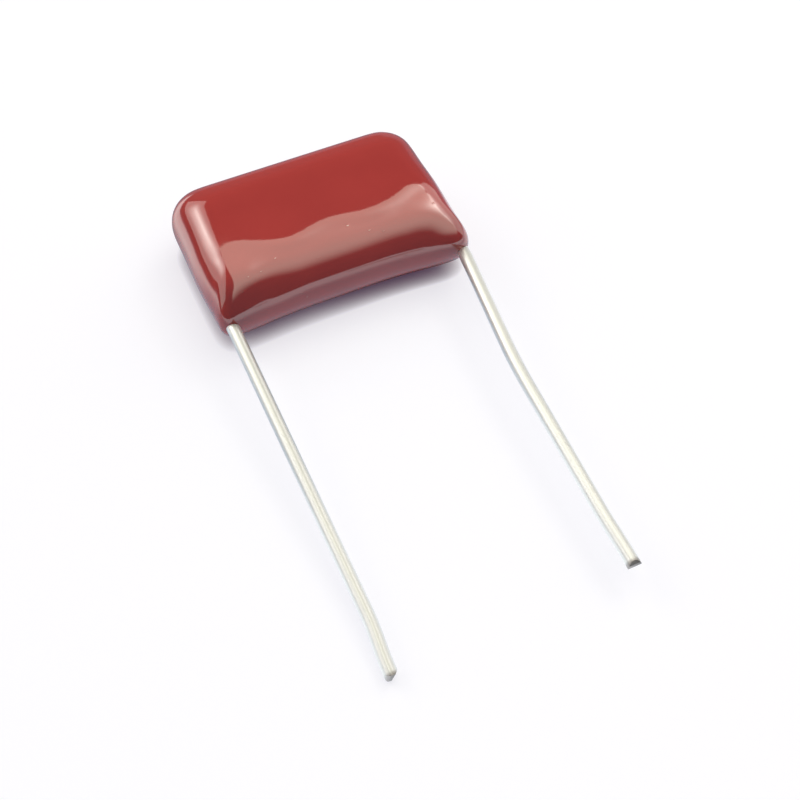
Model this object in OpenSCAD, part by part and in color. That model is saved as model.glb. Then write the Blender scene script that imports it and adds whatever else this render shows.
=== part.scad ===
// Dipped film capacitor with two radial wire leads, lying on one broad face.
// X runs along the lead pitch, the leads run towards -Y, Z is up.
// The origin is the middle of the face that it rests on. Millimetres.

/* [Leads] */
// Distance between the two leads where they leave the body
pitch = 15; // [10:0.5:27.5]
// Diameter of the tinned wire
wire_d = 0.8; // [0.6:0.05:1]
// Reach of both leads outside the body
lead_l = 23.3; // [14:0.1:30]
// Lead length laid along the end of the winding
weld_l = 7; // [4:0.1:8]
// How deep the welded wire sits in the sprayed metal
weld_depth = 0.1; // [0.05:0.01:0.2]
// Straight run outside the coating, before the first bend
bend_out = 0.5; // [0.3:0.05:2]
// Inside radius of the bend at the body
bend_r = 3; // [1.5:0.5:6]
// How far the left lead leans outwards, in degrees
left_lean = 0.25; // [0:0.25:4]
// How far the right lead leans inwards as it leaves the body, in degrees
right_lean = 6.4; // [2:0.2:10]
// Distance along the right lead from the body to its slow bend
knee_l = 9; // [5:0.1:11]
// How far the slow bend turns the right lead back, in degrees
knee_turn = 4.8; // [1:0.2:8]
// Radius of the slow bend
knee_r = 40; // [10:1:60]
// Gap under the right tip, where the left one touches the surface
right_lift = 1.3; // [0:0.05:2]
// Length of the cutter's wedge at each tip
nip_l = 0.45; // [0.2:0.05:0.6]
// Width of the edge that the cutter leaves
nip_land = 0.24; // [0.1:0.02:0.5]
// How far that edge lies off the wire's axis
nip_shift = 0.08; // [0:0.01:0.15]
// Turn of the cut edge about each lead, left and right
nip_turn = [62, -28]; // [-90:1:90]

/* [Winding] */
// Height of the pressed winding along the lead direction
winding_h = 9.1; // [7:0.1:16]
// Thickness of the pressed winding
winding_t = 3.8; // [3:0.1:5]
// Width of the flattened core left by the mandrel
core_w = 4.2; // [2:0.1:4.8]
// Opening that is left between the core's two sides
core_gap = 0.12; // [0.06:0.02:0.3]
// Thickness of the metal sprayed on each end
spray_t = 0.5; // [0.3:0.05:0.8]

/* [Coating] */
// Coating over the broad faces and edges of the winding
coat_t = 0.7; // [0.6:0.05:1]
// Coating over the outside of each welded wire
wire_cover = 0.3; // [0.25:0.05:0.8]
// How far the front edge draws in between the leads
waist = 0.35; // [0.1:0.05:1]
// Shape of the waist, higher keeps it straight for longer
waist_power = 1.9; // [1:0.1:3]
// Corner radius at each lead, seen from above
nose_r = 0.7; // [0.6:0.05:1.3]
// Corner radius at the back, seen from above
back_r = 2.1; // [1:0.1:3]
// Corner radius of the broad faces, seen from above
face_r = 1; // [0.4:0.05:1.5]
// Depth of the rounding on the two ends
end_round = 2; // [1:0.05:2.2]
// Rise of each broad face from its rim to its flat middle
crown = 0.15; // [0.05:0.01:0.25]
// Share of each broad face that is truly flat
flat_share = 0.5; // [0.3:0.05:0.6]

/* [Hidden] */
$fn = 48;

left = -1;
right = 1;
wire_r = wire_d / 2;

// Across the pitch: the wires lie on the sprayed ends of the winding
spray_x = pitch / 2 - wire_r + weld_depth;
film_x = spray_x - spray_t;
body_w = pitch + wire_d + 2 * wire_cover;

// Along the leads
body_h = winding_h + 2 * coat_t + waist;
back_y = body_h / 2;
front_y = -body_h / 2;
winding_back_y = back_y - coat_t;
winding_y = winding_back_y - winding_h / 2;
flat_y = (winding_h - winding_t) / 2;
tail_y = winding_back_y - winding_h + weld_l;
bend_y = front_y - bend_out;
tip_y = front_y - lead_l;

// Each straight run of wire laps over the ends of its bends, which are a hair thinner
bend_lap = 0.05;
bend_seam = 0.002;

// Upwards
body_t = winding_t + 2 * coat_t;
mid_z = body_t / 2;
rim_end = 83;
rim_z = (mid_z - crown) / sin(rim_end);

// Finish of the lofted coating
front_steps = 14;
nose_steps = 8;
side_steps = 8;
back_steps = 8;
edge_steps = 8;
rim_steps = 9;
crown_steps = 3;

// ---- Vectors and lists ----
function unit(v) = v / norm(v);
function mix(a, b, share) = a * (1 - share) + b * share;
function wrap(list, i) = list[(i + len(list)) % len(list)];

// Evens out a closed list by giving each value a share of its neighbours
function even(list, passes) =
    passes == 0 ? list :
    even([for (i = [0:len(list) - 1])
        (wrap(list, i - 1) + 2 * list[i] + wrap(list, i + 1)) / 4], passes - 1);

function arc(centre, r, from, to, steps) =
    [for (i = [0:steps]) let (a = mix(from, to, i / steps)) centre + r * [cos(a), sin(a)]];

// ---- Coating ----
// A plan profile whose front edge draws in between its two front corners
function front_edge(x, corner, front, draw_in) =
    front + draw_in * (0.5 + 0.5 * cos(180 * pow(x / corner, waist_power)));

function half_profile(half_w, front, back, draw_in, front_r, back_r) =
    let (nose_x = half_w - front_r, corner_x = half_w - back_r)
    concat(
        [for (i = [0:front_steps - 1])
            let (x = nose_x * i / front_steps) [x, front_edge(x, nose_x, front, draw_in)]],
        arc([nose_x, front + front_r], front_r, -90, 0, nose_steps),
        [for (i = [1:side_steps - 1])
            [half_w, mix(front + front_r, back - back_r, i / side_steps)]],
        arc([corner_x, back - back_r], back_r, 0, 90, back_steps),
        [for (i = [1:edge_steps]) [corner_x * (1 - i / edge_steps), back]]);

function whole_profile(half) = even(concat(half,
    [for (i = [len(half) - 2:-1:1]) [-half[i].x, half[i].y]]), 1);

// The outermost line, level with the leads, and the rim of each broad face, which
// stands over the flat of the winding
waist_line = whole_profile(half_profile(
    body_w / 2, front_y, back_y, waist, nose_r, back_r));
face_line = whole_profile(half_profile(
    body_w / 2 - end_round, winding_y - flat_y, winding_y + flat_y, 0, face_r, face_r));

// The rim rounds over from the one line to the other as a quarter of an ellipse
function rim_ring(a) =
    [for (i = [0:len(waist_line) - 1])
        let (p = mix(waist_line[i], face_line[i], 1 - cos(a)))
        [p.x, p.y, mid_z + rim_z * sin(a)]];

// A crown ring is the last rim ring drawn towards the middle of the face
function crown_ring(up, step) =
    let (share = mix(1, flat_share, step / crown_steps))
    let (rise = 1 - pow(1 - step / crown_steps, 2))
    [for (p = rim_ring(up * rim_end))
        [p.x * share, p.y * share, p.z + up * crown * rise]];

coating_rings = concat(
    [for (step = [crown_steps:-1:1]) crown_ring(-1, step)],
    [for (step = [-rim_steps:rim_steps]) rim_ring(rim_end * step / rim_steps)],
    [for (step = [1:crown_steps]) crown_ring(1, step)]);

// Skins a stack of closed rings and caps its two ends
module loft(rings) {
    n = len(rings[0]);
    last = len(rings) - 1;
    skin = [for (k = [0:last - 1], i = [0:n - 1])
        let (j = (i + 1) % n, low = k * n, high = low + n)
        each [[low + i, high + i, high + j], [low + i, high + j, low + j]]];
    bottom = [for (i = [0:n - 1]) i];
    top = [for (i = [n - 1:-1:0]) last * n + i];
    polyhedron([for (ring = rings) each ring], concat(skin, [bottom, top]));
}

module epoxy_coating() {
    color([0.64, 0.21, 0.19])
    difference() {
        loft(coating_rings);
        pressed_section(2 * spray_x);
        lead(left);
        lead(right);
    }
}

// ---- Winding ----
// The winding's flattened section, drawn out along X about the middle
module pressed_section(length) {
    translate([-length / 2, winding_y, mid_z])
    rotate([90, 0, 90])
    linear_extrude(length)
    union() {
        square([2 * flat_y, winding_t], center = true);
        for (side = [-1, 1])
            translate([side * flat_y, 0])
            circle(d = winding_t);
    }
}

module film_winding() {
    color([0.86, 0.86, 0.8])
    difference() {
        pressed_section(2 * film_x);
        translate([0, winding_y, mid_z])
        cube([2 * film_x + 1, core_w, core_gap], center = true);
    }
}

// ---- Sprayed ends ----
module end_spray(side) {
    color([0.62, 0.63, 0.65])
    difference() {
        intersection() {
            pressed_section(2 * spray_x);
            translate([side * (film_x + spray_t / 2), winding_y, mid_z])
            cube([spray_t, 2 * winding_h, 2 * winding_t], center = true);
        }
        lead(side);
    }
}

module end_spray_left() {
    end_spray(left);
}

module end_spray_right() {
    end_spray(right);
}

// ---- Leads ----
function pitch_line(side) = side * pitch / 2;

left_route = [
    [pitch_line(left), tail_y, mid_z],
    [pitch_line(left), bend_y, mid_z],
    [pitch_line(left) - (bend_y - tip_y) * tan(left_lean), tip_y, wire_r]];

knee_y = front_y - knee_l;
knee_x = pitch_line(right) - (bend_y - knee_y) * tan(right_lean);
right_tip_x = knee_x - (knee_y - tip_y) * tan(right_lean - knee_turn);
right_tip_z = wire_r + right_lift;
right_route = [
    [pitch_line(right), tail_y, mid_z],
    [pitch_line(right), bend_y, mid_z],
    [knee_x, knee_y, mix(mid_z, right_tip_z, (bend_y - knee_y) / (bend_y - tip_y))],
    [right_tip_x, tip_y, right_tip_z]];

// Places its children with +Z along the direction and +X towards the side
module aim(at, along, towards) {
    x = unit(towards - along * (towards * along));
    y = cross(along, x);
    multmatrix([
        [x.x, y.x, along.x, at.x],
        [x.y, y.y, along.y, at.y],
        [x.z, y.z, along.z, at.z],
        [0, 0, 0, 1]])
    children();
}

// Length that a bend of radius r takes off each side of its corner
function trim(r, before, after) = r * tan(acos(before * after) / 2);

module bend(corner, before, after, r) {
    turn = acos(before * after);
    aim(corner - before * trim(r, before, after), before, after)
    translate([r, 0, 0])
    rotate([90, 0, 180])
    rotate_extrude(angle = turn)
    translate([r, 0])
    circle(r = wire_r - bend_seam);
}

// Two slanting cuts that meet at a blunt edge, left by the side cutters
module nip(turn) {
    slant = atan((wire_r + nip_shift - nip_land / 2) / nip_l);
    rotate([0, 0, turn])
    for (side = [0, 1])
        mirror([side, 0, 0])
        translate([nip_land / 2 + (side == 0 ? nip_shift : -nip_shift), -wire_d, 0])
        rotate([0, -slant, 0])
        translate([0, 0, -2 * nip_l])
        cube([wire_d, 2 * wire_d, 3 * nip_l]);
}

// A wire that follows its route, with radii[i] at the bend after stretch i
module bent_wire(route, radii, turn) {
    last = len(route) - 2;
    along = [for (i = [0:last]) unit(route[i + 1] - route[i])];
    cut = [for (i = [0:last - 1]) trim(radii[i], along[i], along[i + 1])];
    for (i = [0:last]) {
        start = i == 0 ? 0 : cut[i - 1] - bend_lap;
        stop = norm(route[i + 1] - route[i]) - (i == last ? 0 : cut[i] - bend_lap);
        aim(route[i] + along[i] * start, along[i], [0, 0, 1])
        difference() {
            cylinder(h = stop - start, r = wire_r);
            if (i == last)
                translate([0, 0, stop - start])
                nip(turn);
        }
        if (i < last)
            bend(route[i + 1], along[i], along[i + 1], radii[i]);
    }
}

module lead(side) {
    if (side == left)
        bent_wire(left_route, [bend_r], nip_turn[0]);
    else
        bent_wire(right_route, [bend_r, knee_r], nip_turn[1]);
}

module lead_left() {
    color([0.8, 0.79, 0.75])
    lead(left);
}

module lead_right() {
    color([0.8, 0.79, 0.75])
    lead(right);
}

epoxy_coating();
film_winding();
end_spray_left();
end_spray_right();
lead_left();
lead_right();
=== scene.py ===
import math

import bmesh
import bpy
from mathutils import Matrix, Vector


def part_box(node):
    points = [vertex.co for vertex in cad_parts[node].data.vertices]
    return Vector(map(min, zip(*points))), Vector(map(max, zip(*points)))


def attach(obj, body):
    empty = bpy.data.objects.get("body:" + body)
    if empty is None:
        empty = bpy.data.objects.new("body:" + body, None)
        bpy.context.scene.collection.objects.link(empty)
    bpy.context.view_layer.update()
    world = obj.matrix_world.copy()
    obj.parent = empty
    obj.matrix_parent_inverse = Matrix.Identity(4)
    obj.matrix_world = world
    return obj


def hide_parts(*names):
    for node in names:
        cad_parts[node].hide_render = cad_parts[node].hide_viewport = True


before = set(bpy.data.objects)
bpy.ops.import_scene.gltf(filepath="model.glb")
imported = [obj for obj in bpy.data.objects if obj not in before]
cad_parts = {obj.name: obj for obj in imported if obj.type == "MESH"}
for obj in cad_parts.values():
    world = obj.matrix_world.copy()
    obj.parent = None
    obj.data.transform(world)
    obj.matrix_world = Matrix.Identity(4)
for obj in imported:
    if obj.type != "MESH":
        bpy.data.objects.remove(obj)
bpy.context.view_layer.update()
mm = 0.001
print("frame loaded, nodes:", ", ".join(sorted(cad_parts)))


# small helpers for working the way one does by hand
def deselectAll():
    if bpy.context.mode != "OBJECT":
        bpy.ops.object.mode_set(mode="OBJECT")
    bpy.ops.object.select_all(action="DESELECT")


def makeActive(piece):
    deselectAll()
    piece.select_set(True)
    bpy.context.view_layer.objects.active = piece


def enterEdit(piece, kind="VERT"):
    makeActive(piece)
    bpy.ops.object.mode_set(mode="EDIT")
    bpy.ops.mesh.select_mode(type=kind)
    bpy.ops.mesh.select_all(action="DESELECT")


def leaveEdit():
    bpy.ops.object.mode_set(mode="OBJECT")


def pick(piece, kind, test):
    # selects the vertices, edges or faces that pass the test, in edit mode
    bpy.ops.mesh.select_mode(type=kind)
    bpy.ops.mesh.select_all(action="DESELECT")
    mesh = bmesh.from_edit_mesh(piece.data)
    items = {"VERT": mesh.verts, "EDGE": mesh.edges, "FACE": mesh.faces}[kind]
    for item in items:
        item.select = bool(test(item))
    mesh.select_flush_mode()
    bmesh.update_edit_mesh(piece.data)


def keepPrimitive(name):
    # names the primitive just added and puts its place into its mesh
    piece = bpy.context.active_object
    piece.name = name
    piece.data.name = name
    bpy.ops.object.transform_apply(location=True, rotation=True, scale=True)
    return piece


def applyModifier(piece, kind, **settings):
    makeActive(piece)
    modifier = piece.modifiers.new(kind.capitalize(), kind)
    for key, value in settings.items():
        setattr(modifier, key, value)
    bpy.ops.object.modifier_apply(modifier=modifier.name)


def cutAll(piece, places, axis):
    # one straight cut through the whole mesh at each place, in metres
    normal = [0.0, 0.0, 0.0]
    normal[axis] = 1.0
    for place in places:
        point = [0.0, 0.0, 0.0]
        point[axis] = place
        bpy.ops.mesh.select_all(action="SELECT")
        bpy.ops.mesh.bisect(plane_co=point, plane_no=normal)


def shadeSmooth(piece, angle=None):
    makeActive(piece)
    if angle is None:
        bpy.ops.object.shade_smooth()
    else:
        bpy.ops.object.shade_smooth_by_angle(angle=math.radians(angle))


# material helpers
def addNode(tree, kind, **settings):
    # a setting is a property of the node, or a value or a socket for one of its inputs
    node = tree.nodes.new(kind)
    for key, value in settings.items():
        if key not in node.inputs:
            setattr(node, key, value)
        elif isinstance(value, bpy.types.NodeSocket):
            tree.links.new(value, node.inputs[key])
        else:
            node.inputs[key].default_value = value
    return node


def newMaterial(name, surface):
    # the surface lists what is the same all over the piece
    material = bpy.data.materials.new(name)
    material.use_nodes = True
    tree = material.node_tree
    shader = tree.nodes["Principled BSDF"]
    for key, value in surface.items():
        shader.inputs[key].default_value = value
    return material, tree, shader


def ease(tree, source, start, end, low=0.0, high=1.0):
    # a smooth step from low to high as the source goes from start to end
    reach = {"From Min": start, "From Max": end, "To Min": low, "To Max": high}
    node = addNode(tree, "ShaderNodeMapRange", interpolation_type="SMOOTHSTEP",
                   Value=source, **reach)
    return node.outputs["Result"]


def easeAlong(tree, source, span, low=0.0, high=1.0):
    # the same along a stretch in millimetres
    start, end = span
    return ease(tree, source, start * mm, end * mm, low, high)


def combine(tree, operation, *sources):
    # the sources taken together one after another
    total = sources[0]
    for source in sources[1:]:
        node = addNode(tree, "ShaderNodeMath", operation=operation)
        tree.links.new(total, node.inputs[0])
        tree.links.new(source, node.inputs[1])
        total = node.outputs["Value"]
    return total


def placeParts(tree, output="Object"):
    # x, y and z of a texture coordinate
    place = addNode(tree, "ShaderNodeTexCoord").outputs[output]
    parts = addNode(tree, "ShaderNodeSeparateXYZ", Vector=place).outputs
    return parts["X"], parts["Y"], parts["Z"]


def texture(tree, kind, output="Fac", coordinate="Object", stretch=None, **settings):
    # a procedural texture on the piece's own coordinates
    place = addNode(tree, "ShaderNodeTexCoord").outputs[coordinate]
    if stretch:
        place = addNode(tree, "ShaderNodeMapping", Vector=place, Scale=stretch).outputs["Vector"]
    return addNode(tree, kind, Vector=place, **settings).outputs[output]


def toneRamp(tree, source, stops):
    # each stop is a position and a colour, in rising order
    node = addNode(tree, "ShaderNodeValToRGB", Fac=source)
    ramp = node.color_ramp
    for element, (position, colour) in zip(ramp.elements, (stops[0], stops[-1])):
        element.position = position
        element.color = colour
    for position, colour in stops[1:-1]:
        ramp.elements.new(position).color = colour
    return node.outputs["Color"]


def blend(tree, factor, first, second, way="MIX"):
    node = addNode(tree, "ShaderNodeMix", data_type="RGBA", blend_type=way,
                   Factor=factor, A=first, B=second)
    return node.outputs["Result"]


def roughen(tree, shader, height, strength, depth):
    bump = addNode(tree, "ShaderNodeBump", Strength=strength, Distance=depth * mm,
                   Height=height)
    tree.links.new(bump.outputs["Normal"], shader.inputs["Normal"])


def glow(tree, colour, strength=1.0):
    node = addNode(tree, "ShaderNodeEmission", Color=colour, Strength=strength)
    return node.outputs["Emission"]


def addShaders(tree, first, second):
    node = addNode(tree, "ShaderNodeAddShader")
    tree.links.new(first, node.inputs[0])
    tree.links.new(second, node.inputs[1])
    return node.outputs["Shader"]


def chooseByRay(tree, ray, plain, chosen):
    # rays of one kind see the chosen shader, and all others the plain one
    path = addNode(tree, "ShaderNodeLightPath")
    node = addNode(tree, "ShaderNodeMixShader", Fac=path.outputs[ray])
    tree.links.new(plain, node.inputs[1])
    tree.links.new(chosen, node.inputs[2])
    return node.outputs["Shader"]


def wear(piece, material):
    piece.data.materials.clear()
    piece.data.materials.append(material)


def wearNode(name, material):
    # a CAD node keeps its mesh and takes the finish on its own slots
    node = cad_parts[name]
    if not node.material_slots:
        raise RuntimeError(name + " has no material slot")
    for slot in node.material_slots:
        slot.link = "OBJECT"
        slot.material = material


# the coating: a block cut up, drawn onto the solid's form, levelled and swelled
coating = {
    "cutX": (0, 2.6, 5.0, 6.9),  # both sides of the middle, mm
    "cutY": (-4.6, -3.2, -1.4, 0.6, 2.6, 4.3),
    "cutZ": (0.7, 1.6, 2.6, 3.6, 4.5),
    "mergeWithin": 0.002,
    "guideLevels": 2,
    "wireAside": 7.5,  # the two bores in the solid's skin, which the form closes over
    "boreHalf": 0.45,
    "boreHeight": 0.41,
    "boreInwards": -5.3,
    "boreFacing": -0.3,  # but faces that look forwards stay
    "drawRounds": 3,
    "smoothShare": 0.5,
    "smoothRounds": 2,
    # the broad face is level as far as this line, which wanders along the front edge; a
    # fitting program found the line, and it was then thinned out and rounded
    "flatFront": ((-5.8, -1.25), (-2.5, -2.33), (0.2, -1.73), (2.5, -2.12), (3.0, -2.12),
                  (6.6, -1.2)),
    "flatSides": (-5.4, 5.4),
    "flatBack": 2.5,
    "flatReach": (1.7, 0.95, 1.2),  # how softly it ends at the sides, front and back
    "flatDepth": (0.9, 0.5),  # nothing is levelled lower than this under the top
    # swells and hollows of the set coat: x, y, z, reach and rise, mm; a fitting program
    # found them, and they were then merged and rounded
    "swells": {
        "leftEnd": ((-7.9, -0.5, 3.8, 3.7, 0.12), (-8.1, -2.0, 3.0, 3.0, 0.08),
                    (-7.8, -2.7, 4.0, 1.7, 0.03)),
        "leftCorner": ((-5.4, -4.0, 4.7, 1.7, 0.08), (-6.4, -4.0, 4.7, 1.7, 0.07),
                       (-6.2, -2.9, 5.0, 1.7, 0.05)),
        "leftNose": ((-6.7, -5.3, 3.0, 1.7, 0.03),),
        "waist": ((-4.7, -4.8, 3.8, 2.1, -0.12), (3.8, -4.9, 3.7, 2.4, -0.04)),
        "face": ((5.6, 1.3, 5.2, 3.4, -0.03),),
        "rightCorner": ((5.8, -3.7, 4.8, 1.7, 0.05), (7.0, -2.2, 4.8, 1.7, 0.05)),
        "rightEnd": ((7.4, -0.6, 4.6, 2.6, 0.08),),
        "rightNose": ((7.2, -5.2, 3.6, 1.7, 0.20), (7.2, -5.2, 3.6, 2.4, 0.12),
                      (7.1, -5.4, 2.6, 3.4, 0.05), (6.7, -5.5, 3.0, 1.7, 0.07)),
    },
    # pale grains caught in the coat: x, y, z and rise, mm; a program worked out their
    # places, which were then rounded
    "grains": (
        (1.0, -2.8, 5.0, 0.012), (2.2, -3.5, 4.9, 0.014), (2.9, -3.8, 4.7, 0.018),
        (-5.8, -3.9, 4.9, 0.014), (-4.9, -3.8, 4.8, 0.010), (-6.4, -4.5, 4.4, 0.012),
        (-3.8, -3.3, 4.9, 0.014), (-1.3, -4.0, 4.6, 0.008), (3.8, -5.0, 3.3, 0.010),
        (5.4, -5.1, 3.5, 0.014), (-2.9, -5.0, 3.2, 0.010), (-2.6, -5.1, 2.8, 0.008),
        (-8.2, -4.5, 2.8, 0.016), (6.6, -3.2, 5.0, 0.014)),
    "grainRim": 0.022,
    "waves": ((3.2, 0.006), (1.1, 0.0006)),  # what the coat sets into: size and depth, mm
    "mottle": {"Scale": 260.0, "Detail": 3.0, "Roughness": 0.5},
    "mottleTones": ((0.3, (0.372, 0.0280, 0.021, 1)), (0.7, (0.402, 0.0320, 0.024, 1))),
    "backRimColour": (0.425, 0.0375, 0.028, 1),  # lighter towards the back rim
    "backRimAlong": (1.0, 4.5),
    "frontShadeColour": (0.22, 0.022, 0.020, 1),  # painted shade: darker on the faces along the front, most at the left
    "frontShadeDepth": 0.5,
    "frontShadeLeft": 1.6,
    "frontShadeForward": (-3.0, -4.8),
    "frontShadeAside": (-3.5, -6.5),
    "frontShadeUpwards": (2.2, 3.4),
    "frontShadeEnd": (-8.2, -7.2),
    "grainColour": (0.80, 0.62, 0.50, 1),
    "grainShare": 0.6,
    "peel": {"Scale": 1900.0, "Detail": 2.0, "Roughness": 0.45},
    "peelRelief": (0.08, 0.03),  # strength, and depth in mm
    "surface": {"Roughness": 0.07, "IOR": 2.0},
}


def formGuide():
    # the solid's outer skin alone, smoothed, as a form to draw the block onto
    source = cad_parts["epoxy_coating"]
    guide = source.copy()
    guide.data = source.data.copy()
    guide.name = "coatingGuide"
    guide.parent = None
    guide.matrix_world = source.matrix_world
    bpy.context.scene.collection.objects.link(guide)
    enterEdit(guide)
    bpy.ops.mesh.select_all(action="SELECT")
    bpy.ops.mesh.remove_doubles(threshold=coating["mergeWithin"] * mm)
    low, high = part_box("epoxy_coating")
    middle = (low + high) / 2

    def inCavity(face):
        at = face.calc_center_median() - middle
        if face.normal.dot(at) < 0:
            return True
        aside = abs(abs(at.x) - coating["wireAside"] * mm)
        alongWire = abs(at.z) < coating["boreHeight"] * mm and aside < coating["boreHalf"] * mm
        facesForward = face.normal.y < coating["boreFacing"]
        return alongWire and at.y > coating["boreInwards"] * mm and not facesForward

    pick(guide, "FACE", inCavity)
    bpy.ops.mesh.delete(type="FACE")
    bpy.ops.mesh.select_mode(type="VERT")
    bpy.ops.mesh.select_all(action="DESELECT")
    bpy.ops.mesh.select_non_manifold()
    bpy.ops.mesh.fill_holes(sides=0)
    bpy.ops.mesh.select_all(action="SELECT")
    bpy.ops.mesh.tris_convert_to_quads()
    leaveEdit()
    levels = coating["guideLevels"]
    applyModifier(guide, "SUBSURF", levels=levels, render_levels=levels)
    return guide


def smoothStep(start, end, value):
    share = min(max((value - start) / (end - start), 0), 1)
    return share * share * (3 - 2 * share)


def frontLine(x):
    # where the level face ends, between the listed places
    line = coating["flatFront"]
    for (xa, ya), (xb, yb) in zip(line, line[1:]):
        if x <= xb:
            break
    return ya + (yb - ya) * smoothStep(xa, xb, x)


def levelFace(skin, top):
    # the set coat is drawn level over the broad face, less and less towards its rim
    (left, right), back = coating["flatSides"], coating["flatBack"]
    sideReach, frontReach, backReach = coating["flatReach"]
    none, full = coating["flatDepth"]
    enterEdit(skin)
    mesh = bmesh.from_edit_mesh(skin.data)
    for vert in mesh.verts:
        x, y, z = vert.co / mm
        hold = smoothStep(top / mm - none, top / mm - full, z)
        hold *= 1 - smoothStep(0, frontReach, frontLine(x) - y)
        hold *= 1 - smoothStep(0, backReach, y - back)
        hold *= 1 - smoothStep(0, sideReach, left - x)
        hold *= 1 - smoothStep(0, sideReach, x - right)
        vert.co.z += (top - vert.co.z) * hold
    bmesh.update_edit_mesh(skin.data)
    leaveEdit()


def swellCoat(skin):
    for *place, reach, rise in sum(coating["swells"].values(), ()):
        at = Vector(place) * mm
        enterEdit(skin)
        mesh = bmesh.from_edit_mesh(skin.data)
        nearest = min(mesh.verts, key=lambda vert: (vert.co - at).length)
        nearest.select = True
        bmesh.update_edit_mesh(skin.data)
        bpy.ops.transform.translate(
            value=nearest.normal * rise * mm,
            use_proportional_edit=True, proportional_edit_falloff="SMOOTH",
            proportional_size=reach * mm)
        leaveEdit()


def grainCoat(skin):
    enterEdit(skin, "FACE")
    mesh = bmesh.from_edit_mesh(skin.data)
    mesh.faces.layers.float.new("grain")
    bmesh.update_edit_mesh(skin.data)
    leaveEdit()
    for *place, rise in coating["grains"]:
        at = Vector(place) * mm
        enterEdit(skin, "FACE")
        mesh = bmesh.from_edit_mesh(skin.data)
        nearest = min(mesh.faces, key=lambda face: (face.calc_center_median() - at).length)
        nearest.select = True
        lift = nearest.normal * rise * mm
        bmesh.update_edit_mesh(skin.data)
        bpy.ops.mesh.inset(thickness=coating["grainRim"] * mm)
        bpy.ops.transform.translate(value=lift)
        mesh = bmesh.from_edit_mesh(skin.data)
        layer = mesh.faces.layers.float["grain"]
        for face in mesh.faces:
            if face.select:
                face[layer] = 1.0
        bmesh.update_edit_mesh(skin.data)
        leaveEdit()


def makeCoating():
    low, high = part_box("epoxy_coating")
    size = high - low
    deselectAll()
    bpy.ops.mesh.primitive_cube_add(size=1, location=(low + high) / 2, scale=size)
    skin = keepPrimitive("coatingSkin")
    enterEdit(skin)
    sides = [x * mm for x in coating["cutX"]]
    cutAll(skin, sides + [-x for x in sides if x > 0], 0)
    cutAll(skin, [y * mm for y in coating["cutY"]], 1)
    cutAll(skin, [z * mm for z in coating["cutZ"]], 2)
    leaveEdit()
    guide = formGuide()
    for _ in range(coating["drawRounds"]):
        applyModifier(skin, "SHRINKWRAP", target=guide, wrap_method="NEAREST_SURFACEPOINT")
        applyModifier(skin, "SUBSURF", levels=1, render_levels=1)
    applyModifier(skin, "SHRINKWRAP", target=guide, wrap_method="NEAREST_SURFACEPOINT")
    applyModifier(skin, "SMOOTH", factor=coating["smoothShare"],
                  iterations=coating["smoothRounds"])
    bpy.data.objects.remove(guide)
    levelFace(skin, high.z)
    swellCoat(skin)
    for waveSize, depth in coating["waves"]:
        clouds = bpy.data.textures.new("coatWave", "CLOUDS")
        clouds.noise_scale = waveSize * mm
        clouds.noise_depth = 0
        applyModifier(skin, "DISPLACE", texture=clouds, strength=depth * mm, mid_level=0.5)
    applyModifier(skin, "SUBSURF", levels=1, render_levels=1)
    grainCoat(skin)
    shadeSmooth(skin)
    return skin


def coatingFinish():
    material, tree, shader = newMaterial("dippedEpoxy", coating["surface"])
    mottle = texture(tree, "ShaderNodeTexNoise", **coating["mottle"])
    colour = toneRamp(tree, mottle, coating["mottleTones"])
    x, y, z = placeParts(tree)
    backRim = easeAlong(tree, y, coating["backRimAlong"])
    colour = blend(tree, backRim, colour, coating["backRimColour"])
    # painted shade: the coat is made darker along its front faces, most at the left, where less
    # light reaches them
    frontShade = combine(
        tree, "MULTIPLY",
        easeAlong(tree, y, coating["frontShadeForward"], 0, coating["frontShadeDepth"]),
        easeAlong(tree, x, coating["frontShadeAside"], 1, coating["frontShadeLeft"]),
        easeAlong(tree, z, coating["frontShadeUpwards"]),
        easeAlong(tree, x, coating["frontShadeEnd"]))
    colour = blend(tree, frontShade, colour, coating["frontShadeColour"])
    grain = addNode(tree, "ShaderNodeAttribute", attribute_name="grain").outputs["Fac"]
    share = ease(tree, grain, 0, 1, 0, coating["grainShare"])
    colour = blend(tree, share, colour, coating["grainColour"])
    tree.links.new(colour, shader.inputs["Base Color"])
    peel = texture(tree, "ShaderNodeTexNoise", **coating["peel"])
    roughen(tree, shader, peel, *coating["peelRelief"])
    return material


skin = makeCoating()
wear(skin, coatingFinish())
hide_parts("epoxy_coating")
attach(skin, "root")
print("coating modelled,", len(skin.data.polygons), "faces")


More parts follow.
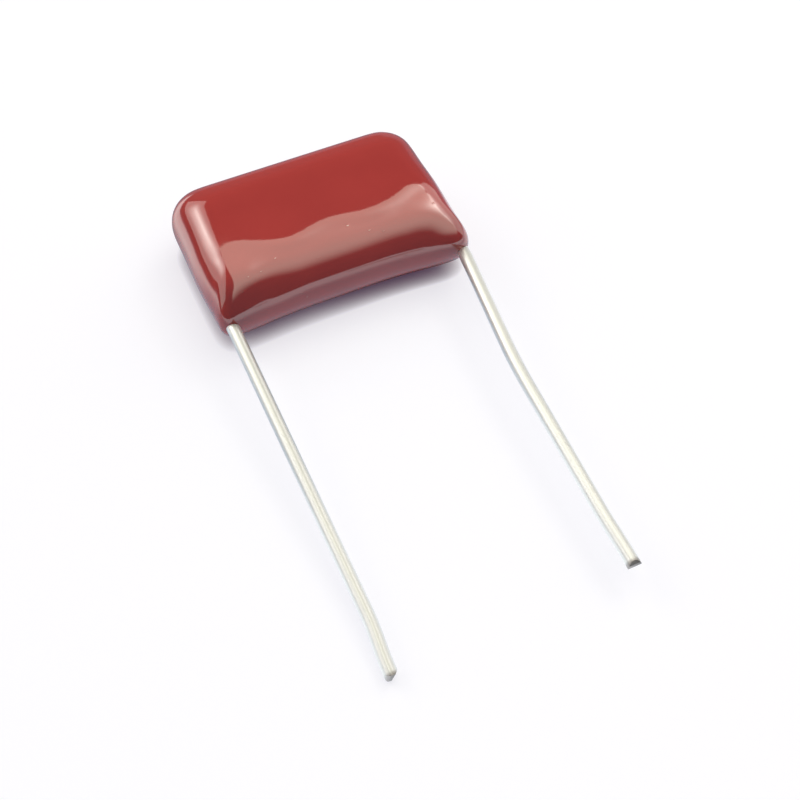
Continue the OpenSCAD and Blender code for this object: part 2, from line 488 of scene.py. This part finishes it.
# the two leads: a straight wire, drawn along its route and nipped off
leads = {
    "radius": 0.4,
    "sides": 40,
    "rings": 150,
    "bendSteps": 10,
    "routes": {
        "lead_left": {
            "points": ((-7.5, 2.625, 2.6), (-7.5, -5.925, 2.6), (-7.599, -28.725, 0.4)),
            "radii": (3,),
            "nipTurn": 75,
            "tipBend": (-0.20, 0.12, 0),
        },
        "lead_right": {
            "points": ((7.5, 2.625, 2.6), (7.5, -5.925, 2.6), (6.547, -14.425, 2.264),
                       (6.147, -28.725, 1.7)),
            "radii": (3, 40),
            "nipTurn": 6,
            "tipBend": (0.10, 0, 0),
        },
    },
    "nipLength": 0.36,
    "nipLand": 0.28,
    "nipShift": 0.09,
    "nipRound": 0.03,
    "nipReach": 0.2,  # this much behind the nip is rounded and bent with it
    "cutWithin": 0.0001,
    "mergeWithin": 0.001,
    "keenAngle": 20,
    "bendReach": 3.5,
    "smoothAngle": 35,
    "drawnStretch": (26, 1.2, 1),  # fine lines along the wire from its drawing
    "drawnLines": {"Scale": 2.0, "Detail": 4.0, "Roughness": 0.6},
    "drawnTones": ((0.3, (0.84, 0.83, 0.79, 1)), (0.7, (0.98, 0.975, 0.95, 1))),
    "drawnRelief": (0.25, 0.02),
    "bareAlong": (-28.32, -28.6),  # the cut end is bare, darker metal
    "bareColour": (0.38, 0.345, 0.33, 1),
    "bareShare": 0.85,
    # painted light and shade: how bright the tin is painted from the wire's left side, at 0,
    # round to its right side, at 1
    "paintedSideTones": ((0.0, 1.0), (0.22, 1.0), (0.33, 0.95), (0.42, 0.77), (0.52, 0.54),
                  (0.62, 0.46), (0.72, 0.51), (0.84, 0.67), (1.0, 0.82)),
    "surface": {"Metallic": 0.8, "Roughness": 0.4},
}


def bentRoute(points, radii):
    # the corners of a route rounded to their bend radii
    path = [points[0]]
    for i, radius in enumerate(radii):
        corner = points[i + 1]
        before = (corner - points[i]).normalized()
        after = (points[i + 2] - corner).normalized()
        turn = before.angle(after)
        reach = radius * math.tan(turn / 2)
        inwards = (after - before).normalized()
        centre = corner + inwards * (radius / math.cos(turn / 2))
        arm = corner - before * reach - centre
        axis = before.cross(after).normalized()
        for step in range(leads["bendSteps"] + 1):
            swing = Matrix.Rotation(turn * step / leads["bendSteps"], 3, axis)
            path.append(centre + swing @ arm)
    path.append(points[-1])
    return path


def makeLead(nodeName, pieceName):
    route = leads["routes"][nodeName]
    points = [Vector(p) * mm for p in route["points"]]
    path = bentRoute(points, [r * mm for r in route["radii"]])
    length = sum((b - a).length for a, b in zip(path, path[1:]))
    deselectAll()
    bpy.ops.mesh.primitive_cylinder_add(
        vertices=leads["sides"], radius=leads["radius"] * mm, depth=length,
        location=(0, 0, length / 2))
    wire = keepPrimitive(pieceName)
    enterEdit(wire, "EDGE")
    pick(wire, "EDGE", lambda edge: abs(edge.verts[0].co.z - edge.verts[1].co.z) > length / 2)
    bpy.ops.mesh.subdivide(number_cuts=leads["rings"])
    leaveEdit()
    curve = bpy.data.curves.new(pieceName + "Route", "CURVE")
    curve.dimensions = "3D"
    curve.twist_mode = "Z_UP"
    spline = curve.splines.new("POLY")
    spline.points.add(len(path) - 1)
    for point, place in zip(spline.points, path):
        point.co = (*place, 1)
    guide = bpy.data.objects.new(pieceName + "Route", curve)
    bpy.context.scene.collection.objects.link(guide)
    applyModifier(wire, "CURVE", object=guide, deform_axis="POS_Z")
    bpy.data.objects.remove(guide)
    # the cutters leave two slants and a blunt edge between them
    along = (points[-1] - points[-2]).normalized()
    across = Vector((0, 0, 1))
    across = (across - along * across.dot(along)).normalized()
    across = Matrix.Rotation(math.radians(route["nipTurn"]), 3, along) @ across
    rise = leads["radius"] + leads["nipShift"] - leads["nipLand"] / 2
    slant = math.atan(rise / leads["nipLength"])
    enterEdit(wire, "EDGE")
    for side in (1, -1):
        edge = side * leads["nipLand"] / 2 + leads["nipShift"]
        bpy.ops.mesh.select_all(action="SELECT")
        bpy.ops.mesh.bisect(
            plane_co=points[-1] + across * edge * mm,
            plane_no=across * side * math.cos(slant) + along * math.sin(slant),
            clear_outer=True, threshold=leads["cutWithin"] * mm)
        bpy.ops.mesh.select_all(action="SELECT")
        bpy.ops.mesh.remove_doubles(threshold=leads["mergeWithin"] * mm)
        bpy.ops.mesh.select_all(action="DESELECT")
        bpy.ops.mesh.select_non_manifold()
        bpy.ops.mesh.fill_holes(sides=0)
    # the cut edges are dull, not keen
    nearTip = (leads["nipLength"] + leads["nipReach"]) * mm

    def fromTip(vert):
        return (vert.co - points[-1]).length

    def isKeen(edge):
        if len(edge.link_faces) != 2:
            return False
        if edge.calc_face_angle(0) < math.radians(leads["keenAngle"]):
            return False
        return all(fromTip(vert) < nearTip + leads["radius"] * mm for vert in edge.verts)

    pick(wire, "EDGE", isKeen)
    bpy.ops.mesh.bevel(
        offset=leads["nipRound"] * mm, segments=2, affect="EDGES", clamp_overlap=True)
    bpy.ops.mesh.select_all(action="SELECT")
    bpy.ops.mesh.normals_make_consistent(inside=False)
    # the cutters have pushed the end a little aside
    pick(wire, "VERT", lambda vert: fromTip(vert) < nearTip)
    bpy.ops.transform.translate(
        value=Vector(route["tipBend"]) * mm, use_proportional_edit=True,
        proportional_edit_falloff="SMOOTH", proportional_size=leads["bendReach"] * mm)
    leaveEdit()
    shadeSmooth(wire, leads["smoothAngle"])
    return wire


def leadFinish():
    material, tree, shader = newMaterial("tinnedWire", leads["surface"])
    lines = texture(tree, "ShaderNodeTexNoise", coordinate="UV", stretch=leads["drawnStretch"],
                    **leads["drawnLines"])
    colour = toneRamp(tree, lines, leads["drawnTones"])
    bare = easeAlong(tree, placeParts(tree)[1], leads["bareAlong"], 0, leads["bareShare"])
    colour = blend(tree, bare, colour, leads["bareColour"])
    # painted light and shade: the tin is made lighter where it faces left and darkest just right
    # of its top
    across = ease(tree, placeParts(tree, "Normal")[0], -1, 1)
    paintedSideShade = [(position, (tone, tone, tone, 1)) for position, tone in leads["paintedSideTones"]]
    colour = blend(tree, 1.0, colour, toneRamp(tree, across, paintedSideShade), "MULTIPLY")
    tree.links.new(colour, shader.inputs["Base Color"])
    roughen(tree, shader, lines, *leads["drawnRelief"])
    return material


tinned = leadFinish()
for nodeName, pieceName in (("lead_left", "leadLeftWire"), ("lead_right", "leadRightWire")):
    wire = makeLead(nodeName, pieceName)
    wear(wire, tinned)
    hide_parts(nodeName)
    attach(wire, "root")
    print(pieceName, "modelled,", len(wire.data.polygons), "faces")


# the inner pieces keep their CAD solids and take a finish
winding = {
    "layers": {"bands_direction": "Z", "Scale": 3000.0, "Distortion": 0.6},
    "layerTones": ((0.0, (0.52, 0.53, 0.50, 1)), (1.0, (0.72, 0.73, 0.69, 1))),
    "surface": {"Metallic": 0.6, "Roughness": 0.35},
}
spray = {
    "grainScale": 9000.0,
    "grainTones": ((0.0, (0.30, 0.31, 0.32, 1)), (1.0, (0.48, 0.49, 0.50, 1))),
    "grainRelief": (0.6, 0.04),
    "surface": {"Metallic": 0.8, "Roughness": 0.7},
}


def windingFinish():
    material, tree, shader = newMaterial("metallisedFilm", winding["surface"])
    layers = texture(tree, "ShaderNodeTexWave", **winding["layers"])
    tree.links.new(toneRamp(tree, layers, winding["layerTones"]), shader.inputs["Base Color"])
    return material


def sprayFinish():
    material, tree, shader = newMaterial("sprayedZinc", spray["surface"])
    grain = texture(tree, "ShaderNodeTexVoronoi", "Distance", Scale=spray["grainScale"])
    tree.links.new(toneRamp(tree, grain, spray["grainTones"]), shader.inputs["Base Color"])
    roughen(tree, shader, grain, *spray["grainRelief"])
    return material


wearNode("film_winding", windingFinish())
sprayed = sprayFinish()
for name in ("end_spray_left", "end_spray_right"):
    wearNode(name, sprayed)
print("inner pieces finished")


# floor, lamps and camera
studio = {
    "floorSize": 3.0,
    "floorSurface": {
        "Base Color": (0.78, 0.78, 0.82, 1), "Roughness": 0.7, "Specular IOR Level": 0.2},
    "groundColour": (0.35, 0.35, 0.36, 1),  # the ground as the camera sees it
    "groundLift": (0.64, 0.635, 0.680, 1),
    "farReach": (120, 500),  # far off, where the lamps don't reach, it glows by itself
    "farColour": (1, 1, 1, 1),
    "contactShadowColour": (0.05, 0.022, 0.055, 1),
    "contactReach": 1.15,  # how far the painted contact shadow, a dark line at the body's foot, spreads, mm
    "contactSamples": 16,
    "contactPower": (1.9, 3.0),  # deeper towards the right
    "contactAcross": (-3, 6),
    "contactAhead": (-9, -7),  # it ends in front of the body, short of the wires' tips
    "mirroredColour": (0.85, 1.0, 1.2, 1),  # and the glow the coat mirrors, a painted reflection
    "mirroredLevel": (0.57, 0.28),
    "mirroredAlong": (0, 8),
    "sidesColour": (1.0, 0.98, 0.93, 1),  # brighter on both sides and far in front
    "leftLevel": 1.5,
    "leftFrom": (-8, -13),
    "leftUntil": (-60, -20),
    "leftAlong": (-2, 8),
    "rightLevel": 0.9,
    "rightFrom": (8, 13),
    "rightUntil": (60, 30),
    "rightAlong": (6, -1),
    "rightAhead": (-14, -7),
    "aheadLevel": 0.6,
    "aheadFrom": (-10, -20),
    "worldFront": (0.115, 0.130, 0.160, 1),
    "worldBack": (0.141, 0.141, 0.160, 1),
    "worldTurn": (-0.3, 0.5),
    "backdropColour": (1, 1, 1, 1),
    "softLamps": ("leftLamp", "rightLamp"),  # bright in the middle, fading to the rim
    "lamps": {
        # name: azimuth and elevation in degrees, distance, width, height, level
        "leftPanel": (-52, 33, 0.60, 0.96, 0.46, 1.05),
        "leftLamp": (-33, 35, 0.52, 0.40, 0.40, 5.0),
        "rightPanel": (80, 24, 0.60, 0.66, 0.60, 1.1),
        "rightLamp": (64, 50, 0.52, 0.46, 0.46, 4.2),
    },
    "lampColour": (1.0, 0.98, 0.91),
    "softboxColour": (1.0, 0.98, 0.83),
    "softboxHeight": 0.42,
    "softboxX": (-0.30, 0.95),  # reach to each side as shares of the height
    "softboxY": (-1.25, 0.82),
    "softboxFade": 0.46,  # the share of it that fades out towards the front
    "softboxLevel": 1.46,
}


def addLamp(name, place, turn, width, height, level, colour):
    light = bpy.data.lights.new(name, "AREA")
    light.shape = "RECTANGLE"
    light.size = width
    light.size_y = height
    light.energy = level * math.pi * width * height
    light.color = colour
    lamp = bpy.data.objects.new(name, light)
    bpy.context.scene.collection.objects.link(lamp)
    lamp.location = place
    lamp.rotation_mode = "QUATERNION"
    lamp.rotation_quaternion = turn
    return light


def lampPlace(light):
    # where a ray meets the lamp, from corner to corner
    light.use_nodes = True
    place = addNode(light.node_tree, "ShaderNodeNewGeometry")
    return light.node_tree, place.outputs["Parametric"]


def fadeLamp(light):
    # the light falls off from the middle of the lamp to its rim
    tree, place = lampPlace(light)
    centre = addNode(tree, "ShaderNodeMapping", Vector=place, Location=(-1, -1, 0),
                     Scale=(2, 2, 1))
    fade = addNode(tree, "ShaderNodeTexGradient", gradient_type="QUADRATIC_SPHERE",
                   Vector=centre.outputs["Vector"])
    tree.links.new(fade.outputs["Fac"], tree.nodes["Emission"].inputs["Strength"])


def fadeSoftbox(light):
    # full at the back and over the object, and fading out towards the front
    tree, place = lampPlace(light)
    parts = addNode(tree, "ShaderNodeSeparateXYZ", Vector=place)
    fade = ease(tree, parts.outputs["Y"], 0, studio["softboxFade"])
    tree.links.new(fade, tree.nodes["Emission"].inputs["Strength"])


def contactShade(tree, x, y):
    # painted contact shadow: from 0 in the dark line under the body to 1 on the open floor
    contact = addNode(tree, "ShaderNodeAmbientOcclusion", samples=studio["contactSamples"],
                      Distance=studio["contactReach"] * mm)
    power = easeAlong(tree, x, studio["contactAcross"], *studio["contactPower"])
    deeper = combine(tree, "POWER", contact.outputs["AO"], power)
    return easeAlong(tree, y, studio["contactAhead"], 1.0, deeper)


def seenGround(tree, foot):
    # the camera sees a white ground that keeps the lamps' shadow, and a painted contact shadow
    # at the body's foot
    ground = addNode(tree, "ShaderNodeBsdfDiffuse", Color=studio["groundColour"])
    colour = blend(tree, foot, studio["contactShadowColour"], studio["groundLift"])
    place = addNode(tree, "ShaderNodeTexCoord").outputs["Object"]
    reach = addNode(tree, "ShaderNodeVectorMath", operation="LENGTH", Vector=place)
    far = easeAlong(tree, reach.outputs["Value"], studio["farReach"])
    colour = blend(tree, far, colour, studio["farColour"])
    return addShaders(tree, ground.outputs["BSDF"], glow(tree, colour))


def mirroredGround(tree, foot, x, y):
    # painted reflection: to mirror rays the ground glows, dim behind the coat and bright on both
    # sides
    level = easeAlong(tree, y, studio["mirroredAlong"], *studio["mirroredLevel"])
    left = combine(
        tree, "MULTIPLY",
        easeAlong(tree, x, studio["leftFrom"], 0, studio["leftLevel"]),
        easeAlong(tree, x, studio["leftUntil"]),
        easeAlong(tree, y, studio["leftAlong"]))
    right = combine(
        tree, "MULTIPLY",
        easeAlong(tree, x, studio["rightFrom"], 0, studio["rightLevel"]),
        easeAlong(tree, x, studio["rightUntil"]),
        easeAlong(tree, y, studio["rightAlong"]),
        easeAlong(tree, y, studio["rightAhead"]))
    ahead = easeAlong(tree, y, studio["aheadFrom"], 0, studio["aheadLevel"])
    sides = combine(tree, "ADD", left, right, ahead)
    return addShaders(
        tree,
        glow(tree, studio["mirroredColour"], combine(tree, "MULTIPLY", level, foot)),
        glow(tree, studio["sidesColour"], combine(tree, "MULTIPLY", sides, foot)))


def floorFinish():
    material, tree, shader = newMaterial("paleFloor", studio["floorSurface"])
    x, y = placeParts(tree)[:2]
    foot = contactShade(tree, x, y)
    surface = shader.outputs["BSDF"]
    surface = chooseByRay(tree, "Is Camera Ray", surface, seenGround(tree, foot))
    surface = chooseByRay(tree, "Is Glossy Ray", surface, mirroredGround(tree, foot, x, y))
    tree.links.new(surface, tree.nodes["Material Output"].inputs["Surface"])
    return material


def makeFloor():
    deselectAll()
    bpy.ops.mesh.primitive_plane_add(size=studio["floorSize"], location=(0, 0, 0))
    floor = keepPrimitive("floor")
    wear(floor, floorFinish())


def makeLamps():
    for name, (azimuth, elevation, distance, width, height, level) in studio["lamps"].items():
        a, e = math.radians(azimuth), math.radians(elevation)
        way = Vector((math.sin(a) * math.cos(e), math.cos(a) * math.cos(e), math.sin(e)))
        turn = (-way).to_track_quat("-Z", "Y")
        light = addLamp(name, way * distance, turn, width, height, level, studio["lampColour"])
        if name in studio["softLamps"]:
            fadeLamp(light)


def makeSoftbox():
    top = studio["softboxHeight"]
    (x0, x1), (y0, y1) = studio["softboxX"], studio["softboxY"]
    place = Vector(((x0 + x1) / 2, (y0 + y1) / 2, 1)) * top
    light = addLamp("softbox", place, (1, 0, 0, 0), (x1 - x0) * top, (y1 - y0) * top,
                    studio["softboxLevel"], studio["softboxColour"])
    fadeSoftbox(light)


def makeWorld():
    world = bpy.data.worlds.new("studioWorld")
    bpy.context.scene.world = world
    world.use_nodes = True
    tree = world.node_tree
    room = tree.nodes["Background"]
    turn = ease(tree, placeParts(tree, "Generated")[1], *studio["worldTurn"])
    colour = blend(tree, turn, studio["worldFront"], studio["worldBack"])
    tree.links.new(colour, room.inputs["Color"])
    backdrop = addNode(tree, "ShaderNodeBackground", Color=studio["backdropColour"])
    surface = chooseByRay(tree, "Is Camera Ray", room.outputs["Background"],
                          backdrop.outputs["Background"])
    tree.links.new(surface, tree.nodes["World Output"].inputs["Surface"])


# the camera's values were solved by a fitting program and rounded
camera = {
    "azimuth": -24.77,
    "elevation": 53.95,
    "distance": 0.0865,
    "aside": 0.00527,
    "down": 0.0107,
    "lens": 62.4,
    "sensor": 36,
    "clipStart": 0.002,
}


def makeCamera():
    a, e = math.radians(camera["azimuth"]), math.radians(camera["elevation"])
    back = Vector((math.sin(a) * math.cos(e), -math.cos(a) * math.cos(e), math.sin(e)))
    right = Vector((0, 0, 1)).cross(back).normalized()
    up = back.cross(right)
    low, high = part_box("epoxy_coating")
    eye = Vector((0, 0, (low.z + high.z) / 2)) + back * camera["distance"]
    eye += right * camera["aside"] - up * camera["down"]
    lens = bpy.data.cameras.new("camera")
    lens.lens = camera["lens"]
    lens.sensor_width = camera["sensor"]
    lens.clip_start = camera["clipStart"]
    seat = bpy.data.objects.new("camera", lens)
    bpy.context.scene.collection.objects.link(seat)
    seat.matrix_world = Matrix((
        (right.x, up.x, back.x, eye.x),
        (right.y, up.y, back.y, eye.y),
        (right.z, up.z, back.z, eye.z),
        (0, 0, 0, 1)))
    bpy.context.scene.camera = seat


makeFloor()
makeLamps()
makeSoftbox()
makeWorld()
makeCamera()
bpy.context.scene.view_settings.view_transform = "Standard"
print("studio and camera set")
